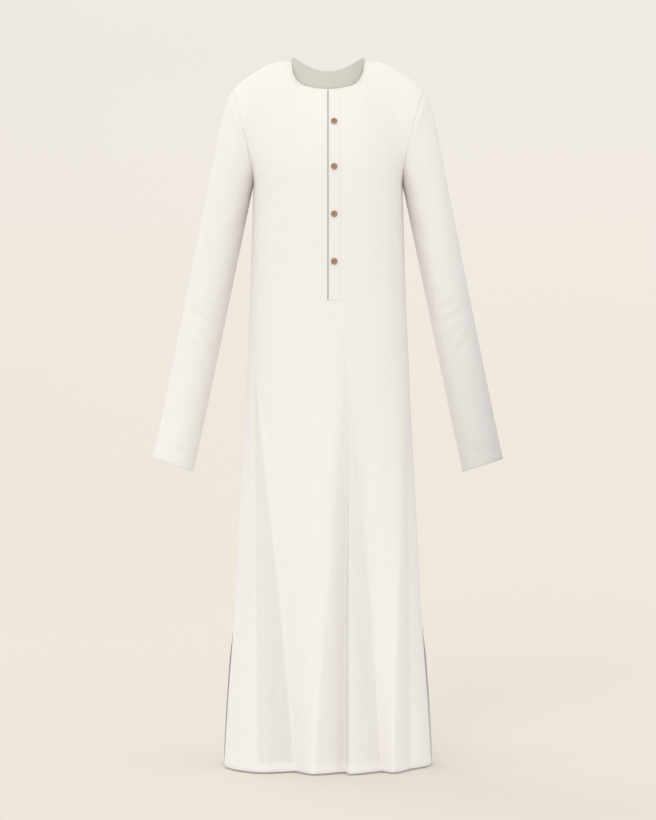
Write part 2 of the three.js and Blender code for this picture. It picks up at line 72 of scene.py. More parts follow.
def rows_of(names, *rows):
    """A short table: one dict for each row, with the named columns."""
    return [dict(zip(names.split(), row)) for row in rows]


BODY = rows_of(
    "z half front_y back_y seam_y",
    (-236, 142.9, -118, 108, 8),
    (-316, 144.8, -117, 102, 6),
    (-450, 148.6, -112, 97, 3),
    (-602, 155, -112, 108, 2),
    (-754, 162, -117, 119, 2),
    (-907, 170.5, -123, 125, 2),
    (-1059, 178, -129, 131, 2),
    (-1211, 188.6, -135, 138, 2),
    (-1330, 195.2, -140, 144, 2),
)

# Crests and valleys in turn. `shade` is painted shade, from that crest down to the next valley.
FRONT_FOLDS = rows_of(
    "top_x top_z hem_x rise columns shade",
    (-136, -600, -122, 7, 4, 0.15),
    (-124, -600, -66, -32, 3, 0),
    (20, -515, -26, 8, 3, 0.06),
    (36, -515, 34, -26, 3, 0),
    (39, -600, 37, 7, 1, 0.07),
    (53, -600, 108, -24, 4, 0),
    (142, -625, 116, 7, 4, 0.02),
    (150, -625, 166, -18, 3, 0),
)
BACK_FOLDS = rows_of(
    "top_x top_z hem_x rise columns shade",
    (-134, -700, -146, 6, 3, 0.07),
    (-118, -660, -98, -22, 3, 0),
    (-58, -600, -52, 9, 4, 0.06),
    (-22, -560, -8, -26, 4, 0),
    (24, -640, 38, 8, 4, 0.06),
    (66, -620, 82, -24, 4, 0),
    (112, -690, 124, 8, 3, 0.05),
    (138, -720, 160, -14, 2, 0),
)
FOLDS_BLEND = (-360, -600)  # from even columns to fold lines

SHOULDER = rows_of(
    "x z",
    (69.5, 5),
    (84, 6.5),
    (100, 4.5),
    (118, -2),
    (140, -15),
    (162, -29),
    (184, -50),
)
SHOULDER_Y = {"neck": 0, "tip": 8}
NECK = {"half": 69.5, "deep": 62}
NECK_FRONT = {"pit_z": -59, "dish": 22, "rise": 42, "power": 10}
NECK_BACK = {"nape_z": -24, "rise": 29, "power": 4}

FRONT_YOKE = rows_of(
    "across up_x up_y up_z down_x down_y down_z",
    (0, 0, -2, 62, 0, -26, -42),
    (0.45, 0, -2, 62, 4, -56, -42),
    (0.72, 0, -12, 58, 2, -46, -28),
    (1, -6, -72, 30, -12, -78, -30),
)
BACK_YOKE = rows_of(
    "across up_x up_y up_z down_x down_y down_z",
    (0, 0, 4, 62, 0, 30, -34),
    (0.45, 0, 4, 62, 8, 66, -17),
    (0.72, 0, 14, 58, 2, 60, -26),
    (1, -5, 66, 30, -10, 72, -30),
)

SLEEVE = rows_of(
    "at outer_x outer_z inner_x inner_z mid_y deep",
    (0, 184, -50, 142.9, -236, 8, 56),
    (0.03, 191, -65, 143.7, -238.5, 8, 56.5),
    (0.07, 199, -90, 144.8, -243, 8.5, 57),
    (0.13, 208.5, -126, 147.2, -253, 9, 57),
    (0.2, 218.7, -179, 152.3, -277, 10, 56),
    (0.3, 232.9, -252, 163.5, -332, 11, 54),
    (0.45, 254.4, -363, 184, -433, 12, 51),
    (0.6, 275.8, -473, 204.1, -532, 9, 48),
    (0.8, 303.9, -618, 230.5, -662, -3, 45),
    (1, 330.5, -755, 254.3, -779, -18, 42),
)
CAP_END = 0.3  # share of the sleeve over which the armhole's loop turns to an oval

COLLAR_TOP = {"half": 68, "deep": 60, "z": 0.1, "tilt": 13.25, "saddle": 12.4}
COLLAR_BOW = 1.2
COLLAR_BACK_DROP = 3

PLACKET = {"from_x": -1.5, "to_x": 23.5, "bottom_z": -463, "below_neck": 3, "columns": 41, "rows": 260}
UNDER_STRIP = {"from_x": -1, "to_x": 24, "bottom_z": -458, "below_neck": 4, "columns": 7, "rows": 140}
# The strip's face above the front: in the slit beside its free edge, on that edge, and where sewn.
PLACKET_LIFT = {"slit": 0.35, "edge": 1.9, "sewn": 0.4, "slit_to": 1, "edge_from": 1.7}
PLACKET_FOOT = 16  # height over which the strip's lower end lies down
PLACKET_SOFT = {"belly": 0.25, "stitch_depth": 0.22, "stitch_width": 0.9, "gap": 0.12}
PLACKET_BOX = (2, 15)  # rows of the strip with a line of stitches across its lower end
SLIT_SHADE = 0.72  # how far painted shade greys the cloth in the placket's slit

BUTTON = {"x": 11.4, "count": 4, "top_z": -126.5, "pitch": 88, "radius": 6, "height": 2.6}
BUTTON_SEAT = 0.45  # a button's back above the strip
BUTTON_HOLE = {"radius": 0.85, "from_middle": 1.45, "sides": 16, "drill": 8}
BUTTON_SIDES = 48
BUTTON_CREASE = 48  # degrees; sharper edges stay crisp
# From the middle of the back round to the middle of the face, as shares of radius and height.
BUTTON_BACK = ((0, 0), (0.66, 0), (0.86, 0.14), (0.97, 0.42))
BUTTON_RIM = ((1, 0.62), (0.985, 0.8), (0.94, 0.94), (0.87, 1), (0.79, 0.96))
BUTTON_DISH = ((0.71, 0.82), (0.62, 0.68), (0.5, 0.62), (0, 0.6))
BUTTON_THREAD = {"level": 0.66, "length": 4.1, "radius": 0.42}
BUTTONHOLE = {"half": 0.95, "tall": 7.4, "lift": 0.05, "length": 1.5, "radius": 0.2}

# ---- Fineness of the meshes ----

FINER = 5  # columns here for each of the panels' columns
SKIRT_ROWS = 172
ROW_HEIGHT = (UNDERARM_Z - HEM_Z) / SKIRT_ROWS
YOKE_ROWS = 46
SLEEVE_COLUMNS = 96
SLEEVE_ROWS = 150
COLLAR_COLUMNS = 156
COLLAR_ROWS = 9

# ---- Sewing ----

HEM = 17  # height of the turned hem
CUFF_HEM = 15
HEM_FULLNESS = 0.9  # how much thicker the cloth is there, as a share
HEM_EDGE = {"wall": 2, "face": 1.5}  # half the height over which wall and face change
# How far a hem's face puckers and stands out, and how deep and wide its stitches sink.
PANEL_HEM = {"pucker": 0.22, "proud": 0.5, "sunk": 0.7}
SLEEVE_HEM = {"pucker": 0.2, "proud": 0.35, "sunk": 0.45}
PUCKER_LENGTH = 2.3  # of cloth to a radian of pucker
STITCH_SINK = 1.6
STITCH_IN = 2  # from an edge to its line of stitches
STITCH = {"pitch": 3.2, "length": 2.4, "radius": 0.24}
SLIT_STITCH = {"in": 7, "past_top": 6}
COLLAR_STITCHES = (0.07, 0.93)  # shares of its height
# Points from which each line of stitches is laid out.
SAMPLES = {"hem": 1200, "cuff": 600, "collar": 900, "strip": 900, "strip_end": 60, "buttonhole": 64}
HEM_STITCHES_IN = 0.4  # columns from a side seam to the first stitch
THREAD_SIDES = 6
RIM = 0.35  # how far a cut edge is rounded out, as a share of the cloth's thickness
# Along a stitch: share of its length from the middle, share of its radius, height in radii.
STITCH_SHAPE = (
    (-0.5, 0.45, -0.9),
    (-0.34, 1, 0.35),
    (0, 1.05, 0.6),
    (0.34, 1, 0.35),
    (0.5, 0.45, -0.9),
)
# Painted shade: a flank's soft edge, as a share of its width, and the middle folds' pleat's grey.
FLANK = {"edge": 0.05, "pleat": 0.15}
# Painted shade on the left sleeve's outer side, over these X, where its normal's Y is below `none`.
SLEEVE_SHADE = {"from_x": 205, "to_x": 335, "amount": 0.5, "none": 0.35, "full": -0.25}

# ---- Colours, as sRGB ----

CREAM = (239, 235, 230)
GREY = (209, 205, 196)
BROWN = (164, 127, 93)
THREAD = (244, 240, 234)
# SHADE is the grey that painted shade on the cloth turns towards.
SHADE = (158, 158, 155)
WALL = (246, 242, 237)
FLOOR = (238, 230, 219)

# ---- Cloth in close-up ----

WEAVE_PITCH = 0.9  # two threads
# Slubs: noise cells to a metre across the cloth's width and along its length.
SLUBS = {"weft": (34.0, 760.0, 0.0), "warp": (820.0, 26.0, 5.0)}
SLUB_TONE = {"from": 0.36, "gain": 3.2, "pale": 0.35}
# Each bump's strength, and its depth in metres.
CRUMPLE, SLUB_BUMP, WEAVE_BUMP = (0.22, 0.0012), (0.5, 0.00035), (0.55, 0.00012)
FINE_BUMP = 0.0001
# Noise cells to a metre.
GRAIN = {"cloud": 7, "crumple": 26, "twist": 2400, "fine": 1500, "swirl": 210, "wall": 1.3}

# ---- Stage ----

VIEW = {"distance": 4000, "eye_z": -800, "middle_z": -662.1, "frame_height": 1559.6}
SENSOR = 36
BACKDROP_DIM = 0.2
WALL_REACH = 3.6  # metres over which the backdrop turns from the floor's tone to the wall's
# The sweep's floor lies `drop` under the hem, with rings at these radii, and curves up by `bend`.
SWEEP = {"drop": 4, "bend": 2600, "wall": 5200, "steps": 16, "sides": 96}
SWEEP_FLOOR = (900, 2200, 3600)
SKY = {"strength": 0.915, "colour": (1.0, 0.994, 0.984, 1.0)}
# Far, soft lights: the side each comes from, its strength, its width in degrees and its colour.
SUNS = rows_of(
    "name side strength width colour",
    ("key", (-1.15, -4.5, 1.8), 0.59, 24, (1.0, 0.99, 0.975)),
    ("top", (-0.1, -0.5, 4.0), 0.42, 26, (1.0, 0.995, 0.985)),
    ("back", (-2.4, 3.4, 2.0), 0.45, 40, (1.0, 0.99, 0.98)),
)


# ======== Curves and surfaces ========


def between(rows, by, at, column):
    """One column of a table at places between its rows, on a smooth curve through them."""
    x = np.array([row[by] for row in rows], float)
    y = np.array([row[column] for row in rows], float)
    if x[0] > x[-1]:
        x, y = x[::-1], y[::-1]
    k = np.arange(len(x))
    before, after = np.maximum(k - 1, 0), np.minimum(k + 1, len(x) - 1)
    slope = (y[after] - y[before]) / (x[after] - x[before])
    i = np.clip(np.searchsorted(x, at, side="right") - 1, 0, len(x) - 2)
    width = x[i + 1] - x[i]
    t = np.clip((at - x[i]) / width, 0, 1)
    ends = y[i] * (1 + 2 * t) * (1 - t) ** 2 + y[i + 1] * (3 - 2 * t) * t**2
    return ends + width * (slope[i] * t * (1 - t) ** 2 - slope[i + 1] * (1 - t) * t**2)


def smooth(low, high, value):
    t = np.clip((value - low) / (high - low), 0, 1)
    return t * t * (3 - 2 * t)


def bell(distance, width):
    return np.exp(-((distance / width) ** 2))


def lerp(a, b, t):
    return a + (b - a) * t


def bezier(a, b, c, d, t):
    return a * (1 - t) ** 3 + 3 * b * t * (1 - t) ** 2 + 3 * c * t**2 * (1 - t) + d * t**3


def stack(*parts):
    """Coordinates, each an array, as an array of points."""
    return np.stack(parts, axis=-1)


def unit(v):
    return v / np.maximum(np.linalg.norm(v, axis=-1, keepdims=True), 1e-9)


def make_panel(side, centre, folds, yoke, flare):
    """What says a panel's shape: -1 for the front and 1 for the back, then its own tables."""
    lines = [{"fold": None, "column": 0}]
    for fold in folds:
        lines.append({"fold": fold, "column": lines[-1]["column"] + fold["columns"]})
    lines.append({"fold": None, "column": PANEL_COLUMNS})
    return {"side": side, "centre": centre, "yoke": yoke, "flare": flare, "lines": lines}


FRONT = make_panel(-1, "front_y", FRONT_FOLDS, FRONT_YOKE, 0.0)
BACK = make_panel(1, "back_y", BACK_FOLDS, BACK_YOKE, SLIT_FLARE)


def way_down(top_z, z):
    """How far a level lies from `top_z` down to the hem, as a share."""
    return float(np.clip((top_z - z) / (top_z - HEM_Z), 0, 1))


def fold_angle(fold, even, z):
    """A fold line's place round the section, which turns to the even one above the skirt."""
    half = between(BODY, "z", min(z, fold["top_z"]), "half")
    share = lerp(fold["top_x"], fold["hem_x"], way_down(fold["top_z"], z)) / half
    angle = math.asin(math.copysign(abs(share) ** (SQUARENESS / 2), share))
    return lerp(even, angle, smooth(-FOLDS_BLEND[0], -FOLDS_BLEND[1], -z))


def flank_shade(panel, columns, z):
    """Painted shade at each point: wedges on the flanks, from a point at a fold's top to the hem."""
    shade = np.zeros(len(columns))
    if z <= HEM_Z + HEM:
        return shade
    lines = panel["lines"][1:-1]
    for first, second in zip(lines, lines[1:]):
        start, end = first["fold"], second["fold"]
        down = way_down(min(start["top_z"], end["top_z"]), z)
        share = (columns - first["column"]) / (second["column"] - first["column"])
        inside = (share > -0.01) & (share < 1.01)
        if start["shade"]:
            top_width, hem_width = end["top_x"] - start["top_x"], end["hem_x"] - start["hem_x"]
            wedge = hem_width * down / lerp(top_width, hem_width, down)
            # The wedge keeps to the straighter of the flank's two lines.
            lean = [abs(fold["hem_x"] - fold["top_x"]) for fold in (start, end)]
            across = share if lean[0] < lean[1] else 1 - share
            covered = smooth(wedge + FLANK["edge"], wedge - FLANK["edge"], across)
            shade = np.maximum(shade, start["shade"] * covered * inside)
        # The one-column pleat between the middle folds gets painted shade too.
        if second["column"] - first["column"] == 1:
            shade = np.maximum(shade, FLANK["pleat"] * down**0.5 * inside)
    return shade


def skirt(panel, columns, z):
    """The panel's outer face at one level."""
    side, lines = panel["side"], panel["lines"]
    at = np.array([line["column"] for line in lines], float)
    angles, rises = [], []
    for line in lines:
        fold, even = line["fold"], (line["column"] / PANEL_COLUMNS - 0.5) * math.pi
        angles.append(fold_angle(fold, even, z) if fold else even)
        rises.append(fold["rise"] * way_down(fold["top_z"], z) if fold else 0.0)
    angles, rises = np.array(angles), np.array(rises)
    k = np.clip(np.searchsorted(at, columns, side="right") - 1, 0, len(at) - 2)
    share = (columns - at[k]) / (at[k + 1] - at[k])
    soft = lerp(share, smooth(0, 1, share), FOLD_SOFTNESS)
    angle = lerp(angles[k], angles[k + 1], share)
    rise = lerp(rises[k], rises[k + 1], soft)
    half = between(BODY, "z", z, "half")
    seam = between(BODY, "z", z, "seam_y")
    depth = abs(between(BODY, "z", z, panel["centre"]) - seam)
    x = np.sign(angle) * np.abs(np.sin(angle)) ** (2 / SQUARENESS)
    y = side * np.abs(np.cos(angle)) ** (2 / SQUARENESS)
    power = SQUARENESS - 1
    slopes = [np.sign(x) * np.abs(x) ** power / half, side * np.abs(y) ** power / depth]
    out = unit(stack(*slopes)) * rise[:, None]
    seam += side * (SEAM_GAP + SLIT_SPREAD * way_down(SLIT_TOP_Z, z)) / 2
    flare = panel["flare"] * float(np.clip((SLIT_TOP_Z - z) / SLIT_EASE, 0, 1)) * x**FLARE_REACH
    wide = half * x + out[:, 0] + np.sign(x) * flare
    return stack(wide, seam + depth * y + out[:, 1], np.full(len(x), float(z)))


def neck(angle):
    """The neckline, from the pit at angle 0 round to the nape at half a turn."""
    wide, deep = np.sin(angle), np.cos(angle)
    front = NECK_FRONT["pit_z"] + NECK_FRONT["dish"] * wide**2
    front = front + NECK_FRONT["rise"] * wide ** NECK_FRONT["power"]
    back = NECK_BACK["nape_z"] + NECK_BACK["rise"] * wide ** NECK_BACK["power"]
    y = SHOULDER_Y["neck"] - NECK["deep"] * deep
    return stack(NECK["half"] * wide, y, np.where(deep > 0, front, back))


def upper_edge(panel, across):
    """The panel's shoulder seams, with its neckline between them."""
    share = NECK_COLUMNS / PANEL_COLUMNS
    turn = np.clip(across / share, -1, 1) * math.pi / 2
    on_neck = neck(turn if panel["side"] < 0 else math.pi - turn)
    t = np.clip((1 - np.abs(across)) / (1 - share), 0, 1)
    x = lerp(SHOULDER[-1]["x"], SHOULDER[0]["x"], t)
    y = lerp(SHOULDER_Y["tip"], SHOULDER_Y["neck"], t)
    seam = stack(np.sign(across) * x, y, between(SHOULDER, "x", x, "z"))
    edge = np.where((np.abs(across) < share)[:, None], on_neck, seam)
    edge[:, 1] += panel["side"] * SEAM_GAP / 2
    return edge


def yoke(panel, columns, rise):
    """The panel's outer face a share of the way from the underarm level to its upper edge."""
    across = 2 * columns / PANEL_COLUMNS - 1

    def handle(way):
        parts = [between(panel["yoke"], "across", np.abs(across), f"{way}_{axis}") for axis in "xyz"]
        parts[0] = parts[0] * np.sign(across)
        return stack(*parts)

    low = skirt(panel, columns, UNDERARM_Z)
    high = upper_edge(panel, across)
    return bezier(low, low + handle("up"), high + handle("down"), high, rise)


def soften(grid, times):
    """Rounds a grid along its rows; its first and last column stay."""
    for _ in range(times):
        grid[:, 1:-1] = (grid[:, :-2] + 2 * grid[:, 1:-1] + grid[:, 2:]) / 4
    return grid


def normals_of(grid, sign, ring=False):
    """Unit normals of a grid of points, to the side that `sign` picks."""
    if ring:
        across = np.roll(grid, -1, axis=1) - np.roll(grid, 1, axis=1)
    else:
        across = np.gradient(grid, axis=1)
    return unit(np.cross(across, np.gradient(grid, axis=0))) * sign


def run_lengths(points, axis=0):
    """How far along the cloth each point of a grid lies, by rows or by columns, or of a line."""
    steps = np.linalg.norm(np.diff(points, axis=axis), axis=-1)
    start = np.zeros_like(np.take(steps, [0], axis=axis))
    return np.concatenate([start, np.cumsum(steps, axis=axis)], axis=axis)


def read_line(places, run, values):
    """Points or normals of a line at places between its own, which stand at `run`."""
    return stack(*(np.interp(places, run, values[:, k]) for k in range(3)))


# ======== Creases ========

# Each crease is a soft trough between two low ridges: where its middle is, how it lies in degrees
# from level, and its length, width and depth. Panels measure `along` as X and `up` as Z. Sleeves
# measure `along` round the sleeve from the underarm, forwards, and `up` down from the shoulder.
CREASE_COLUMNS = "along up lie length width depth"
FRONT_CREASES = rows_of(
    CREASE_COLUMNS,
    (-112, -268, 52, 120, 9, 1.5),
    (-98, -300, 64, 95, 8, 1),
    (-122, -330, 74, 110, 8, 0.9),
    (115, -262, -50, 110, 9, 1.4),
    (101, -305, -66, 120, 8, 1.1),
    (124, -345, -76, 90, 7, 0.8),
    (-60, -505, 80, 150, 10, 1),
    (58, -540, -82, 170, 10, 0.9),
    (-14, -505, 84, 90, 7, 0.8),
    (38, -500, -83, 80, 7, 0.9),
    (-36, -118, 58, 70, 8, 0.7),
    (52, -112, -56, 64, 8, 0.7),
    (-84, -800, 88, 300, 13, 1.6),
    (78, -760, -87, 240, 12, 1.4),
    (-160, -1010, 86, 260, 10, 1.5),
    (-8, -980, 87, 260, 10, 1.1),
    (72, -1120, -84, 210, 9, 1.2),
    (-95, -1180, 80, 150, 8, 1),
)
BACK_CREASES = rows_of(
    CREASE_COLUMNS,
    (-108, -262, 50, 130, 9, 1.6),
    (-92, -306, 62, 100, 8, 1.1),
    (110, -266, -52, 120, 9, 1.5),
    (96, -312, -64, 105, 8, 1),
    (-70, -452, 24, 110, 9, 1.3),
    (64, -470, -20, 120, 9, 1.2),
    (-30, -486, 14, 90, 8, 1),
    (28, -440, -12, 80, 8, 0.9),
    (-44, -150, 70, 130, 11, 1),
    (46, -160, -72, 140, 11, 1),
    (-74, -820, 87, 280, 13, 1.6),
    (92, -850, -86, 260, 12, 1.5),
    (10, -1090, 88, 230, 10, 1.3),
    (-128, -1100, 84, 210, 9, 1.2),
)
SLEEVE_CREASES = rows_of(
    CREASE_COLUMNS,
    (60, 322, 24, 100, 8, 2),
    (86, 352, 12, 120, 9, 2.4),
    (64, 384, -8, 110, 8, 2),
    (90, 414, -20, 90, 8, 1.5),
    (48, 290, 34, 80, 7, 1.3),
    (250, 336, 10, 70, 8, 1.1),
    (246, 392, -10, 80, 8, 1.2),
    (40, 150, 62, 110, 9, 1.4),
    (268, 140, -62, 110, 9, 1.4),
    (70, 610, 8, 90, 7, 1.1),
    (180, 640, -12, 80, 7, 1),
    (110, 655, 10, 100, 6, 1.2),
    (215, 670, 4, 90, 6, 0.9),
    (150, 560, 18, 90, 8, 0.9),
)
# Each crease bows a little and its width wavers along it, so that none looks ruled.
CREASE = {"bow": 0.0009, "waver": 0.25, "waver_length": 37, "ridge_out": 1.7, "ridge": 0.45}


def crease_depth(creases, along, up, turn_length=None):
    """How far the creases push each point out, where `along` and `up` are the points' places."""
    total = np.zeros(along.shape)
    for crease in creases:
        lie = math.radians(crease["lie"])
        dx, dz = along - crease["along"], up - crease["up"]
        if turn_length is not None:
            dx = dx - turn_length * np.round(dx / turn_length)
        run = dx * math.cos(lie) + dz * math.sin(lie)
        off = -dx * math.sin(lie) + dz * math.cos(lie) + CREASE["bow"] * run * run
        reach = np.clip(1 - (2 * run / crease["length"]) ** 2, 0, 1) ** 2
        waver = CREASE["waver"] * np.sin(run / CREASE["waver_length"] + crease["along"])
        width = crease["width"] * (1 + waver)
        aside = CREASE["ridge_out"] * width
        ridges = bell(off - aside, width) + bell(off + aside, width)
        total += crease["depth"] * reach * (CREASE["ridge"] * ridges - bell(off, width))
    return total


def hem_relief(height, hem, wave, relief):
    """How a turned hem stands out: its fold puckered and proud, its line of stitches sunk."""
    pucker = relief["pucker"] * np.sin(wave) * bell(height - hem / 2, hem)
    proud = relief["proud"] * smooth(hem + HEM_EDGE["face"], hem - HEM_EDGE["face"], height)
    return pucker + proud - relief["sunk"] * bell(height - hem + STITCH_IN, STITCH_SINK)


def hem_thickness(height, hem):
    """The wall, nearly doubled over a turned hem."""
    doubled = smooth(hem + HEM_EDGE["wall"], hem - HEM_EDGE["wall"], height)
    return CLOTH * (1 + HEM_FULLNESS * doubled)


# ======== Meshes ========


def add_object(name, data):
    thing = bpy.data.objects.new(name, data)
    bpy.context.collection.objects.link(thing)
    return thing


def add_mesh(name, points, faces, material, cloth=None):
    """A smooth mesh in metres from points in millimetres; `cloth` carries the weave and painted shade.
    """
    mesh = bpy.data.meshes.new(name)
    mesh.from_pydata((np.asarray(points) * MM).tolist(), [], faces)
    mesh.validate()
    mesh.polygons.foreach_set("use_smooth", [True] * len(mesh.polygons))
    if cloth is not None:
        layer = mesh.attributes.new("cloth", "FLOAT_VECTOR", "POINT")
        layer.data.foreach_set("vector", np.asarray(cloth, np.float32).ravel())
    mesh.materials.append(material)
    return add_object(name, mesh)


def place_piece(piece, slot, *nodes):
    """Says what body a piece rides and which solids it replaces; `slot` is not used."""
    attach(piece, "root")
    if nodes:
        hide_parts(*nodes)
    return piece


def turned(profile, sides):
    """Points and faces of a profile of (radius, height) turned about Z, from a point on it."""
    points, faces, low = [], [], None
    for radius, z in profile:
        turns = [2 * math.pi * k / sides for k in range(sides)] if radius else [0]
        high = range(len(points), len(points) + len(turns))
        points += [(radius * math.cos(turn), radius * math.sin(turn), z) for turn in turns]
        for k in range(sides if low else 0):
            pairs = ((low, k), (low, k + 1), (high, k + 1), (high, k))
            faces.append(list(dict.fromkeys(ring[at % len(ring)] for ring, at in pairs)))
        low = high
    return points, faces


def edge_loop(rows, columns):
    """Rows and columns of an open grid's border, once round."""
    low = [(0, c) for c in range(columns)]
    right = [(r, columns - 1) for r in range(1, rows)]
    high = [(rows - 1, c) for c in range(columns - 2, -1, -1)]
    left = [(r, 0) for r in range(rows - 2, 0, -1)]
    return np.array(low + right + high + left)


def add_shell(name, surface, thickness, nodes, slot="cotton_cream"):
    """Cloth with two faces and rounded edges, its wall going inwards from the surface's grid."""
    grid, normals, ring = surface["grid"], surface["normals"], "ring" in surface
    rows, columns = grid.shape[:2]
    thick = np.broadcast_to(thickness, (rows, columns))[..., None]
    inner = grid - normals * thick
    across = run_lengths(grid, 1)
    across = across - across.mean(axis=1, keepdims=True)
    # The mesh carries the surface's painted shade, if any, beside the weave's places.
    shade = surface.get("shade", np.zeros((rows, columns)))
    cloth = stack(across * MM, run_lengths(grid) * MM, shade).reshape(-1, 3)
    ids = np.arange(rows * columns).reshape(rows, columns)
    inner_ids = ids + rows * columns
    wrapped = np.concatenate([ids, ids[:, :1]], axis=1) if ring else ids
    corners = [wrapped[:-1, :-1], wrapped[:-1, 1:], wrapped[1:, 1:], wrapped[1:, :-1]]
    quads = stack(*corners).reshape(-1, 4)
    points = [grid.reshape(-1, 3), inner.reshape(-1, 3)]
    faces = [quads, quads[:, ::-1] + rows * columns]
    clothes = [cloth, cloth]
    if ring:
        turns = np.arange(columns)
        borders = [(stack(turns * 0 + row, turns), way) for row, way in ((0, 1), (rows - 1, -1))]
    else:
        borders = [(edge_loop(rows, columns), 0)]
    count = 2 * rows * columns
    for border, way in borders:
        r, c = border[:, 0], border[:, 1]
        if ring:
            back_r, back_c = r + way, c
        else:
            back_r, back_c = np.clip(r, 1, rows - 2), np.clip(c, 1, columns - 2)
        outward = unit(grid[r, c] - grid[back_r, back_c])
        points.append((grid[r, c] + inner[r, c]) / 2 + outward * thick[r, c] * RIM)
        clothes.append(cloth[ids[r, c]])
        rim = np.arange(len(border)) + count
        after = np.roll(np.arange(len(border)), -1)
        for a, b in ((ids[r, c], rim), (rim, inner_ids[r, c])):
            strip = stack(a, b, b[after], a[after])
            faces.append(strip[:, ::-1] if way < 0 else strip)
        count += len(border)
    all_faces = np.concatenate(faces).tolist()
    piece = add_mesh(name, np.concatenate(points), all_faces, CLOTHS[slot], np.concatenate(clothes))
    face_out(piece.data)
    return place_piece(piece, slot, *nodes)


def face_out(mesh):
    """Turns every face of a closed mesh outwards."""
    shape = bmesh.new()
    shape.from_mesh(mesh)
    bmesh.ops.recalc_face_normals(shape, faces=shape.faces)
    shape.to_mesh(mesh)
    shape.free()


def sample(surface, column, row):
    """Points and normals of a surface at places between its grid's columns and rows."""
    grid, normals = surface["grid"], surface["normals"]
    rows, columns = grid.shape[:2]
    column, row = np.broadcast_arrays(np.asarray(column, float), np.asarray(row, float))
    c0 = np.floor(column).astype(int)
    if "ring" not in surface:
        c0 = np.clip(c0, 0, columns - 2)
    s = (column - c0)[..., None]
    c0, c1 = c0 % columns, (c0 + 1) % columns
    r0 = np.clip(np.floor(row).astype(int), 0, rows - 2)
    t = (row - r0)[..., None]

    def mix(values):
        low = lerp(values[r0, c0], values[r0, c1], s)
        high = lerp(values[r0 + 1, c0], values[r0 + 1, c1], s)
        return lerp(low, high, t)

    return mix(grid), unit(mix(normals))


def spaced(points, normals, closed=False):
    """Where the stitches of a line stand, with the line's direction and normal at each."""
    if closed:
        points, normals = (np.concatenate([part, part[:1]]) for part in (points, normals))
    run = run_lengths(points)
    count = max(int(run[-1] / STITCH["pitch"]), 1)
    at = (np.arange(count) + 0.5) * run[-1] / count
    near = STITCH["length"] / 12
    way = read_line(at + near, run, points) - read_line(at - near, run, points)
    return read_line(at, run, points), unit(way), unit(read_line(at, run, normals))


def add_stitches(name, lines, material, slot="cotton_cream", thread=STITCH):
    """The stitches on several lines of (places, directions, normals)."""
    middle, way, up = (np.concatenate([line[k] for line in lines]) for k in range(3))
    side, radius = unit(np.cross(way, up)), thread["radius"]
    corners, one = [], []
    for share, fat, height in STITCH_SHAPE:
        centre = middle + way * (share * thread["length"]) + up * (height * radius)
        for k in range(THREAD_SIDES):
            turn = 2 * math.pi * k / THREAD_SIDES
            corners.append(centre + (side * math.cos(turn) + up * math.sin(turn)) * radius * fat)
    per = len(corners)
    for start in range(0, per - THREAD_SIDES, THREAD_SIDES):
        for k in range(THREAD_SIDES):
            a, b = start + k, start + (k + 1) % THREAD_SIDES
            one.append((a, b, b + THREAD_SIDES, a + THREAD_SIDES))
    one += [tuple(reversed(range(THREAD_SIDES))), tuple(range(per - THREAD_SIDES, per))]
    points = np.stack(corners, axis=1).reshape(-1, 3)
    faces = [tuple(n * per + i for i in face) for n in range(len(middle)) for face in one]
    place_piece(add_mesh(name, points, faces, material), slot)


# ======== Materials ========


def linear(rgb):
    """An sRGB colour of 0 to 255 as linear values."""
    parts = [c / 255 for c in rgb]
    return [c / 12.92 if c <= 0.04045 else ((c + 0.055) / 1.055) ** 2.4 for c in parts] + [1.0]


def shaded(colour, amount):
    return [c * amount for c in colour[:3]] + [1.0]


class Nodes:
    """A short way to write a node tree."""

    def __init__(self, name):
        self.material = bpy.data.materials.new(name)
        self.material.use_nodes = True
        self.tree = self.material.node_tree
        self.surface = self.tree.nodes["Principled BSDF"].inputs

    def add(self, kind, inputs, **settings):
        node = self.tree.nodes.new(kind)
        for key, value in settings.items():
            setattr(node, key, value)
        for key, value in inputs.items():
            self.put(node.inputs[key], value)
        return node.outputs

    def put(self, socket, value):
        if isinstance(value, bpy.types.NodeSocket):
            self.tree.links.new(value, socket)
        else:
            socket.default_value = value

    def shade(self, inputs):
        for name, value in inputs.items():
            self.put(self.surface[name], value)

    def place(self):
        return self.add("ShaderNodeTexCoord", {})["Object"]

    def math(self, operation, a, b=0.0, clamp=False):
        return self.add("ShaderNodeMath", {0: a, 1: b}, operation=operation, use_clamp=clamp)[0]

    def mix(self, share, a, b):
        return self.add("ShaderNodeMix", {0: share, 6: a, 7: b}, data_type="RGBA")[2]

    def noise(self, vector, scale, detail=2.0, distortion=0.0):
        inputs = {"Vector": vector, "Scale": scale, "Detail": detail, "Distortion": distortion}
        return self.add("ShaderNodeTexNoise", inputs)[0]

    def stretched(self, u, v, stretch):
        """Noise in cloth that is stretched by (u, v) cells to a metre, from a given place."""
        place = {0: self.math("MULTIPLY", u, stretch[0]), 1: self.math("MULTIPLY", v, stretch[1])}
        vector = self.add("ShaderNodeCombineXYZ", {**place, 2: stretch[2]})[0]
        return self.noise(vector, 1.0, 3.0)

    def bump(self, height, strength, depth, normal=None):
        inputs = {"Height": height, "Strength": strength, "Distance": depth}
        if normal is not None:
            inputs["Normal"] = normal
        return self.add("ShaderNodeBump", inputs)[0]


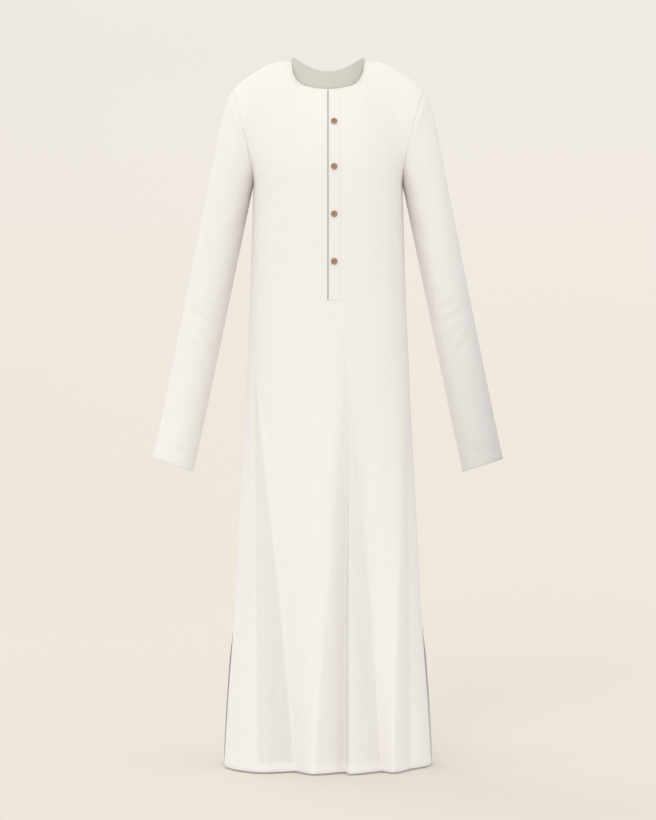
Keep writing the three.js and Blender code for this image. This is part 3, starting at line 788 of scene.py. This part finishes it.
def cotton(name, colour, slub):
    """Plain-weave cotton: slubs along warp and weft, a faint crumple, a little sheen and painted
    shade.
    """
    n = Nodes(name)
    cloth = n.add("ShaderNodeAttribute", {}, attribute_name="cloth", attribute_type="GEOMETRY")
    u, v, shade = n.add("ShaderNodeSeparateXYZ", {0: cloth["Vector"]})
    turn = 2 * math.pi / (WEAVE_PITCH * MM)
    warp, weft = (n.math("SINE", n.math("MULTIPLY", way, turn)) for way in (u, v))
    weave = n.math("MULTIPLY", warp, weft)
    slubs = n.math("ADD", n.stretched(u, v, SLUBS["weft"]), n.stretched(u, v, SLUBS["warp"]))
    slubs = n.math("MULTIPLY", slubs, 0.5)
    place, base = n.place(), linear(colour)
    thick = n.math("SUBTRACT", slubs, SLUB_TONE["from"])
    thick = n.math("MULTIPLY", thick, SLUB_TONE["gain"], clamp=True)
    tone = n.mix(thick, shaded(base, 1 - slub), shaded(base, 1 + slub * SLUB_TONE["pale"]))
    cloudy = n.math("MULTIPLY", n.noise(place, GRAIN["cloud"], 3.0), 0.5, clamp=True)
    tone = n.mix(cloudy, tone, shaded(base, 0.985))
    bump = n.bump(n.noise(place, GRAIN["crumple"]), *CRUMPLE)
    looks = {
        # The base colour greys towards SHADE where the mesh carries painted shade.
        "Base Color": n.mix(shade, tone, linear(SHADE)),
        "Roughness": n.math("ADD", n.math("MULTIPLY", slubs, 0.16), 0.78),
        "Specular IOR Level": 0.22,
        "Sheen Weight": 0.12,
        "Sheen Roughness": 0.45,
        "Normal": n.bump(weave, *WEAVE_BUMP, n.bump(slubs, *SLUB_BUMP, bump)),
    }
    n.shade(looks)
    return n.material


def thread_material(name, colour):
    n = Nodes(name)
    twist = n.noise(n.place(), GRAIN["twist"], 1.0)
    looks = {
        "Base Color": n.mix(twist, shaded(linear(colour), 0.93), linear(colour)),
        "Roughness": 0.62,
        "Sheen Weight": 0.2,
        "Normal": n.bump(twist, 0.3, FINE_BUMP),
    }
    n.shade(looks)
    return n.material


def button_material():
    """Brown casein-like plastic with faint swirls and a satin gloss."""
    n = Nodes("button_brown")
    place, base = n.place(), linear(BROWN)
    fine = n.noise(place, GRAIN["fine"], 1.0)
    swirl = n.noise(place, GRAIN["swirl"], 4.0, 1.6)
    looks = {
        "Base Color": n.mix(swirl, shaded(base, 0.72), shaded(base, 1.25)),
        "Roughness": n.math("ADD", n.math("MULTIPLY", fine, 0.12), 0.3),
        "Specular IOR Level": 0.5,
        "Coat Weight": 0.25,
        "Coat Roughness": 0.2,
        "Normal": n.bump(fine, 0.08, FINE_BUMP),
    }
    n.shade(looks)
    return n.material


def backdrop_material():
    """A pale wall whose tone turns slowly to the floor's, and which glows a little."""
    n = Nodes("backdrop")
    place, low = n.place(), HEM_Z * MM
    height = n.add("ShaderNodeSeparateXYZ", {0: place})[2]
    reach = {"Value": height, "From Min": low, "From Max": low + WALL_REACH}
    up = n.add("ShaderNodeMapRange", reach, interpolation_type="SMOOTHERSTEP")[0]
    tone = n.math("MULTIPLY", n.noise(place, GRAIN["wall"]), 0.06)
    base = n.mix(n.math("ADD", up, tone, clamp=True), linear(FLOOR), linear(WALL))
    looks = {
        "Base Color": n.mix(BACKDROP_DIM, base, (0.0, 0.0, 0.0, 1.0)),
        "Roughness": 0.95,
        "Specular IOR Level": 0.1,
        "Emission Color": base,
        "Emission Strength": 0.06,
    }
    n.shade(looks)
    return n.material


CLOTHS = {
    "cotton_cream": cotton("cotton_cream", CREAM, 0.05),
    "cotton_grey": cotton("cotton_grey", GREY, 0.06),
}
THREAD_CREAM = thread_material("thread_cream", THREAD)
THREAD_GREY = thread_material("thread_grey", GREY)
THREAD_BROWN = thread_material("thread_brown", BROWN)
BUTTON_BROWN = button_material()


# ======== The panels ========

# The yoke is rounded from some rows under the underarm level to some over it, less at the top.
YOKE_ROUNDING = {"from": 16, "to": 6, "top": 15, "times": 40}
FADE = {"sides": 6, "top": 4}  # columns and rows over which creases die out towards the seams


def panel_surface(panel, creases):
    """A panel's outer face with its folds, creases and hem: a grid, normals and painted shade."""
    columns = np.linspace(0, PANEL_COLUMNS, PANEL_COLUMNS * FINER + 1)
    levels = np.linspace(HEM_Z, UNDERARM_Z, SKIRT_ROWS + 1)
    grid = [skirt(panel, columns, z) for z in levels]
    grid += [yoke(panel, columns, k / YOKE_ROWS) for k in range(1, YOKE_ROWS + 1)]
    shade = [flank_shade(panel, columns, z) for z in levels] + [np.zeros(len(columns))] * YOKE_ROWS
    grid = soften(np.array(grid), 2)
    row, column = np.arange(len(grid)), np.arange(len(columns))
    # The yoke's corners, where the neckline meets the shoulder, are rounded further.
    share = smooth(SKIRT_ROWS - YOKE_ROUNDING["from"], SKIRT_ROWS + YOKE_ROUNDING["to"], row)
    share = share * smooth(0, YOKE_ROUNDING["top"], row[::-1])
    grid = lerp(grid, soften(grid.copy(), YOKE_ROUNDING["times"]), share[:, None, None])
    normals = normals_of(grid, -panel["side"])
    fade = smooth(0, FADE["sides"], np.minimum(column, column[::-1]))
    fade = fade * smooth(0, FADE["top"], row[::-1])[:, None]
    push = crease_depth(creases, grid[..., 0], grid[..., 2])
    grid = grid + normals * (push * fade)[..., None]
    wave = run_lengths(grid, 1) / PUCKER_LENGTH
    relief = hem_relief(grid[..., 2] - HEM_Z, HEM, wave, PANEL_HEM)
    grid = grid + normals * (relief * fade)[..., None]
    normals = normals_of(grid, -panel["side"])
    # Along the side seams the wall goes level, straight in from the side.
    normals[: SKIRT_ROWS + 1, 0] = (-1, 0, 0)
    normals[: SKIRT_ROWS + 1, -1] = (1, 0, 0)
    return {"grid": grid, "normals": normals, "shade": np.array(shade)}


def hem_stitches(surface):
    last = surface["grid"].shape[1] - 1
    columns = np.linspace(HEM_STITCHES_IN, last - HEM_STITCHES_IN, SAMPLES["hem"])
    return spaced(*sample(surface, columns, (HEM - STITCH_IN) / ROW_HEIGHT))


def slit_stitches(surface, way):
    """The line down the open edge where rows start (1) or end (-1), from above the slit's top."""
    top_z = SLIT_TOP_Z + SLIT_STITCH["past_top"]
    rows = np.arange(int(HEM / ROW_HEIGHT), int((top_z - HEM_Z) / ROW_HEIGHT))
    columns = []
    for row in rows:
        points = surface["grid"][row, ::way]
        column = np.interp(SLIT_STITCH["in"], run_lengths(points), np.arange(len(points)))
        columns.append(column if way > 0 else len(points) - 1 - column)
    return spaced(*sample(surface, columns, rows))


def make_body():
    surfaces = {}
    panels = (
        ("front", FRONT, FRONT_CREASES, ("hem", "skirt", "trunk", "yoke_left", "yoke_right")),
        ("back", BACK, BACK_CREASES, ("hem", "skirt", "trunk", "yoke")),
    )
    for name, panel, creases, parts in panels:
        surface = panel_surface(panel, creases)
        thickness = hem_thickness(surface["grid"][..., 2] - HEM_Z, HEM)
        nodes = [f"{name}_{part}" for part in parts]
        surface["piece"] = add_shell(f"cloth_{name}", surface, thickness, nodes)
        surfaces[name] = surface
        lines = [hem_stitches(surface), slit_stitches(surface, 1), slit_stitches(surface, -1)]
        add_stitches(f"stitches_{name}", lines, THREAD_CREAM)
    return surfaces


# ======== The sleeves ========

RING_SPREAD = {"power": 1.35, "even": 0.55}  # rings crowd towards the armhole
ROUND = 0.8  # millimetres round the sleeve to a degree, where its creases are laid out
SLEEVE_PUCKER = 0.55  # radians of pucker to a millimetre round the cuff
SLEEVE_FADE = {"cap": 30, "cuff": 20}  # lengths over which creases die out at the ends
# The cap's cloth rises from the armhole seam, as eased cloth does: a ridge, a dip on the seam,
# and the degrees from the underarm between which they set in.
CAP_RIDGE = {"height": 1.1, "down": 9.0, "width": 8.0}
CAP_DIP = {"depth": 0.9, "width": 3.2}
CAP_FROM, CAP_TO = 40, 110


def sleeve_at(at):
    """The sleeve's inner and outer point and half its depth, a share of the way down it."""
    row = {key: float(between(SLEEVE, "at", at, key)) for key in SLEEVE[0]}
    ends = [np.array([row[f"{end}_x"], row["mid_y"], row[f"{end}_z"]]) for end in ("inner", "outer")]
    return *ends, row["deep"]


def sleeve_surface():
    """The wearer's left sleeve: rings from the armhole down, each from the underarm forwards."""
    inner, outer, depth = sleeve_at(0)
    reach, middle = (outer - inner) / 2, (outer + inner) / 2
    out = unit(np.array([reach[2], 0, -reach[0]]))
    turns = np.arange(SLEEVE_COLUMNS) / (SLEEVE_COLUMNS / 2)
    loop = []
    for turn in turns:
        panel, rise = (FRONT, turn) if turn <= 1 else (BACK, 2 - turn)
        point = yoke(panel, np.array([float(PANEL_COLUMNS)]), rise)[0]
        point[1] -= panel["side"] * SEAM_GAP / 2
        loop.append(point - middle)
    loop = np.array(loop)
    high0, deep0, bow0 = loop @ reach / (reach @ reach), loop[:, 1] / depth, loop @ out
    angle = turns * math.pi
    grid = []
    shares = np.linspace(0, 1, SLEEVE_ROWS + 1)
    for at in lerp(shares ** RING_SPREAD["power"], shares, RING_SPREAD["even"]):
        inner, outer, depth = sleeve_at(at)
        oval = smooth(0, CAP_END, at)
        high = lerp(high0, -np.cos(angle), oval)
        ring = lerp(inner, outer, (1 + high[:, None]) / 2)
        ring[:, 1] += lerp(deep0, -np.sin(angle), oval) * depth
        grid.append(ring + out * (bow0 * (1 - oval) + ARMHOLE_GAP)[:, None])
    grid = np.array(grid)
    normals = normals_of(grid, -1, ring=True)
    down = run_lengths(grid).mean(axis=1)[:, None] * np.ones(grid.shape[:2])
    edge = down.max() - down
    # Creases are laid out on the underarm's clock: 0 at the underarm, 90 at the front.
    clock = np.broadcast_to(np.degrees(angle), grid.shape[:2])
    creases = [dict(crease, along=crease["along"] * ROUND) for crease in SLEEVE_CREASES]
    push = crease_depth(creases, clock * ROUND, down, 360 * ROUND)
    push = push * smooth(0, SLEEVE_FADE["cap"], down) * smooth(0, SLEEVE_FADE["cuff"], edge)
    relief = hem_relief(edge, CUFF_HEM, clock * ROUND * SLEEVE_PUCKER, SLEEVE_HEM)
    eased = CAP_RIDGE["height"] * bell(down - CAP_RIDGE["down"], CAP_RIDGE["width"])
    eased = eased - CAP_DIP["depth"] * bell(down, CAP_DIP["width"])
    eased = eased * smooth(CAP_FROM, CAP_TO, np.minimum(clock, 360 - clock))
    grid = grid + normals * (push + relief + eased)[..., None]
    return {"grid": grid, "normals": normals_of(grid, -1, ring=True), "ring": True, "edge": edge}


def sleeve_shade(surface):
    """Soft painted shade on the front of the left sleeve's outer side."""
    shade, from_x = SLEEVE_SHADE, SLEEVE_SHADE["from_x"]
    across = (surface["grid"][..., 0] - from_x) / (shade["to_x"] - from_x)
    facing = smooth(shade["none"], shade["full"], surface["normals"][..., 1])
    return shade["amount"] * np.clip(across, 0, 1) * facing


def mirrored(surface):
    flip = np.array([-1.0, 1.0, 1.0])
    return dict(surface, grid=surface["grid"] * flip, normals=surface["normals"] * flip)


def make_sleeves():
    left = sleeve_surface()
    sleeves = {}
    for name, surface in (("sleeve_left", left), ("sleeve_right", mirrored(left))):
        surface["shade"] = sleeve_shade(surface)
        thickness = hem_thickness(surface["edge"], CUFF_HEM)
        nodes = [f"{name}_upper", f"{name}_lower"]
        surface["piece"] = add_shell(f"cloth_{name}", surface, thickness, nodes)
        sleeves[name] = surface
        edge = surface["edge"][:, 0]
        row = np.interp(-(CUFF_HEM - STITCH_IN), -edge, np.arange(len(edge)))
        columns = np.linspace(0, SLEEVE_COLUMNS, SAMPLES["cuff"], endpoint=False)
        line = spaced(*sample(surface, columns, row), closed=True)
        add_stitches(f"stitches_{name}", [line], THREAD_CREAM)
    return sleeves


# ======== The collar ========


def collar_surface():
    turns = (np.arange(COLLAR_COLUMNS) / (COLLAR_COLUMNS / 2) - 0.5) * math.pi
    wide, deep, level = np.sin(turns), np.cos(turns), np.zeros(len(turns))
    base = neck(turns) + np.array([0, 0, SEAM_GAP])
    z = COLLAR_TOP["z"] - COLLAR_TOP["tilt"] * deep - COLLAR_TOP["saddle"] * np.cos(2 * turns)
    z = z - COLLAR_BACK_DROP * np.clip(-deep, 0, 1) ** 2
    y = SHOULDER_Y["neck"] - COLLAR_TOP["deep"] * deep
    top = stack(COLLAR_TOP["half"] * wide, y, z)
    bow = stack(wide, -deep, level) * COLLAR_BOW
    normals = unit(stack(wide / NECK["half"], -deep / NECK["deep"], level))
    shares = np.linspace(0, 1, COLLAR_ROWS)
    grid = np.array([lerp(base, top, t) + bow * 4 * t * (1 - t) for t in shares])
    return {"grid": grid, "normals": np.broadcast_to(normals, grid.shape), "ring": True}


def collar_stitches(collar):
    """A line near the lower edge and one near the upper."""
    columns = np.linspace(0, COLLAR_COLUMNS, SAMPLES["collar"], endpoint=False)
    rows = [inset * (COLLAR_ROWS - 1) for inset in COLLAR_STITCHES]
    lines = [spaced(*sample(collar, columns, row), closed=True) for row in rows]
    add_stitches("stitches_collar", lines, THREAD_GREY, "cotton_grey")


# ======== Placket and buttons ========


def front_line(surface, x):
    """Where the front stands at this X in each of its rows, with the normals there."""
    rows = range(len(surface["grid"]))
    columns = [np.interp(x, line[:, 0], np.arange(len(line))) for line in surface["grid"]]
    return sample(surface, columns, rows)


def strip_surface(surface, strip, step=0):
    """A strip on the front, or behind it, made from the front's own points moved out or in."""
    grid, normals = [], []
    for x in np.linspace(strip["from_x"], strip["to_x"], strip["columns"]):
        points, out = front_line(surface, x)
        z = points[:, 2]
        levels = np.linspace(strip["bottom_z"], z[-1] - strip["below_neck"], strip["rows"])
        out = unit(read_line(levels, z, out))
        grid.append(read_line(levels, z, points) + out * step)
        normals.append(out)
    return {"grid": np.stack(grid, axis=1), "normals": np.stack(normals, axis=1)}


def strip_column(x):
    """The upper strip's column, often between two, at this X."""
    from_x, to_x = PLACKET["from_x"], PLACKET["to_x"]
    return (x - from_x) / (to_x - from_x) * (PLACKET["columns"] - 1)


def make_placket(front):
    under = strip_surface(front, UNDER_STRIP, -(CLOTH + LIFT))
    under_piece = add_shell("cloth_placket_under", under, STRIP_CLOTH, ["placket_under"])
    over = strip_surface(front, PLACKET)
    sewn_x = PLACKET["to_x"]
    across = np.linspace(PLACKET["from_x"], sewn_x, PLACKET["columns"])[None, :]
    up = over["grid"][..., 2] - PLACKET["bottom_z"]
    top = lerp(PLACKET_LIFT["edge"], PLACKET_LIFT["sewn"], smooth(0, sewn_x, across))
    top = lerp(PLACKET_LIFT["sewn"], top, smooth(0, PLACKET_FOOT, up))
    top = top + PLACKET_SOFT["belly"] * np.sin(np.pi * across / sewn_x)
    stitched = (PLACKET_LIFT["edge_from"] + STITCH_IN, sewn_x - STITCH_IN)
    for x in stitched:
        top = top - PLACKET_SOFT["stitch_depth"] * bell(across - x, PLACKET_SOFT["stitch_width"])
    raised = smooth(PLACKET_LIFT["slit_to"], PLACKET_LIFT["edge_from"], across)
    lift = lerp(PLACKET_LIFT["slit"], top, raised)
    over["grid"] = over["grid"] + over["normals"] * lift[..., None]
    # Painted shade on the cloth in the slit beside the strip's raised edge.
    over["shade"] = SLIT_SHADE * (1 - raised) * np.ones(lift.shape)
    thickness = lift - PLACKET_SOFT["gap"]
    over_piece = add_shell("cloth_placket_over", over, thickness, ["placket_over"])
    rows = np.linspace(1, PLACKET["rows"] - 2, SAMPLES["strip"])
    lines = [spaced(*sample(over, strip_column(x), rows)) for x in stitched]
    columns = strip_column(np.linspace(*stitched, SAMPLES["strip_end"]))
    lines += [spaced(*sample(over, columns, row)) for row in PLACKET_BOX]
    add_stitches("stitches_placket", lines, THREAD_CREAM)
    return over, under_piece, over_piece


def drilled_button():
    """The mesh of a shirt button with its four holes, its back on Z = 0 and its face up."""
    radius, height = BUTTON["radius"], BUTTON["height"]
    shares = BUTTON_BACK + BUTTON_RIM + BUTTON_DISH
    profile = [(radius * share, height * level) for share, level in shares]
    blank = add_object("blank", bpy.data.meshes.new("blank"))
    points, faces = turned(profile, BUTTON_SIDES)
    blank.data.from_pydata(points, [], faces)
    face_out(blank.data)
    shape = bmesh.new()
    size = {"radius1": BUTTON_HOLE["radius"], "radius2": BUTTON_HOLE["radius"]}
    places = (-BUTTON_HOLE["from_middle"], BUTTON_HOLE["from_middle"])
    for x in places:
        for y in places:
            made = bmesh.ops.create_cone(
                shape, cap_ends=True, segments=BUTTON_HOLE["sides"], depth=BUTTON_HOLE["drill"], **size
            )
            bmesh.ops.translate(shape, verts=made["verts"], vec=(x, y, 0))
    drill = add_object("drill", bpy.data.meshes.new("drill"))
    shape.to_mesh(drill.data)
    shape.free()
    cut = blank.modifiers.new("holes", "BOOLEAN")
    cut.operation = "DIFFERENCE"
    cut.solver = "EXACT"
    cut.object = drill
    graph = bpy.context.evaluated_depsgraph_get()
    mesh = bpy.data.meshes.new_from_object(blank.evaluated_get(graph))
    bpy.data.objects.remove(drill)
    bpy.data.objects.remove(blank)
    return mesh


def buttonhole(centre, axes):
    """The line of stitches round an upright buttonhole, whose ends show past the button."""
    wide, high = BUTTONHOLE["half"], BUTTONHOLE["tall"]
    turn = np.linspace(0, 2 * math.pi, SAMPLES["buttonhole"], endpoint=False)
    level = np.zeros(len(turn))
    ring = stack(wide * np.sin(turn), high * np.cos(turn), level + BUTTONHOLE["lift"])
    way = unit(stack(np.sin(turn) * high, wide * np.cos(turn), level))
    return centre + ring @ axes, way @ axes, np.broadcast_to(axes[2], ring.shape)


def make_buttons(over):
    blank = drilled_button()
    shape = np.array([v.co[:] for v in blank.vertices])
    faces = [tuple(p.vertices) for p in blank.polygons]
    z = over["grid"][:, PLACKET["columns"] // 2, 2]
    holes, threads = [], []
    for k in range(BUTTON["count"]):
        level = BUTTON["top_z"] - k * BUTTON["pitch"]
        row = np.interp(level, z, np.arange(len(z)))
        centre, out = sample(over, strip_column(BUTTON["x"]), row)
        up = unit(np.array([0, 0, 1.0]) - out * out[2])
        across = np.cross(up, out)
        axes = np.stack([across, up, out])
        seat = centre + out * BUTTON_SEAT
        piece = add_mesh(f"shirt_button_{k + 1}", seat + shape @ axes, faces, BUTTON_BROWN)
        piece.data.set_sharp_from_angle(angle=math.radians(BUTTON_CREASE))
        place_piece(piece, "button", f"button_{k + 1}")
        for side in (-BUTTON_HOLE["from_middle"], BUTTON_HOLE["from_middle"]):
            middle = seat + across * side + out * (BUTTON["height"] * BUTTON_THREAD["level"])
            threads.append((middle[None], up[None], out[None]))
        holes.append(buttonhole(centre, axes))
    add_stitches("button_threads", threads, THREAD_BROWN, thread=BUTTON_THREAD)
    add_stitches("buttonholes", holes, THREAD_CREAM, thread=BUTTONHOLE)
    bpy.data.meshes.remove(blank)


# ======== Stage, light and camera ========


def make_backdrop():
    """A round studio sweep: a floor that curves up into a wall far behind every view."""
    floor_z, flat, bend = HEM_Z - SWEEP["drop"], SWEEP_FLOOR[-1], SWEEP["bend"]
    profile = [(radius, floor_z) for radius in SWEEP_FLOOR]
    for k in range(1, SWEEP["steps"] + 1):
        turn = k / SWEEP["steps"] * math.pi / 2
        profile.append((flat + bend * math.sin(turn), floor_z + bend * (1 - math.cos(turn))))
    profile.append((flat + bend, floor_z + bend + SWEEP["wall"]))
    points, faces = turned([(0.0, floor_z)] + profile, SWEEP["sides"])
    faces = [face[::-1] for face in faces]  # it is seen from within
    sweep = add_mesh("backdrop", points, faces, backdrop_material())
    sweep.visible_diffuse = False
    sweep.visible_glossy = False
    sweep.visible_shadow = False


def make_lights():
    world = bpy.data.worlds.new("studio")
    bpy.context.scene.world = world
    world.use_nodes = True
    sky = world.node_tree.nodes["Background"]
    sky.inputs["Color"].default_value = SKY["colour"]
    sky.inputs["Strength"].default_value = SKY["strength"]
    for sun in SUNS:
        data = bpy.data.lights.new(sun["name"], "SUN")
        data.angle = math.radians(sun["width"])
        data.energy = sun["strength"]
        data.color = sun["colour"]
        light = add_object(sun["name"], data)
        light.location = sun["side"]
        light.rotation_euler = (-Vector(sun["side"])).to_track_quat("-Z", "Y").to_euler()


def make_camera():
    data = bpy.data.cameras.new("camera")
    data.sensor_width = SENSOR
    data.lens = SENSOR * VIEW["distance"] / VIEW["frame_height"]
    camera = add_object("camera", data)
    camera.location = (0, -VIEW["distance"] * MM, VIEW["eye_z"] * MM)
    pitch = math.atan2(VIEW["middle_z"] - VIEW["eye_z"], VIEW["distance"])
    camera.rotation_euler = (math.pi / 2 + pitch, 0, 0)
    bpy.context.scene.camera = camera


bpy.context.scene.view_settings.view_transform = "Standard"
make_camera()
make_lights()
make_backdrop()
body = make_body()
sleeves = make_sleeves()
collar = collar_surface()
collar["piece"] = add_shell("cloth_collar", collar, COLLAR_CLOTH, ["collar"], "cotton_grey")
over, under_piece, over_piece = make_placket(body["front"])
make_buttons(over)
collar_stitches(collar)
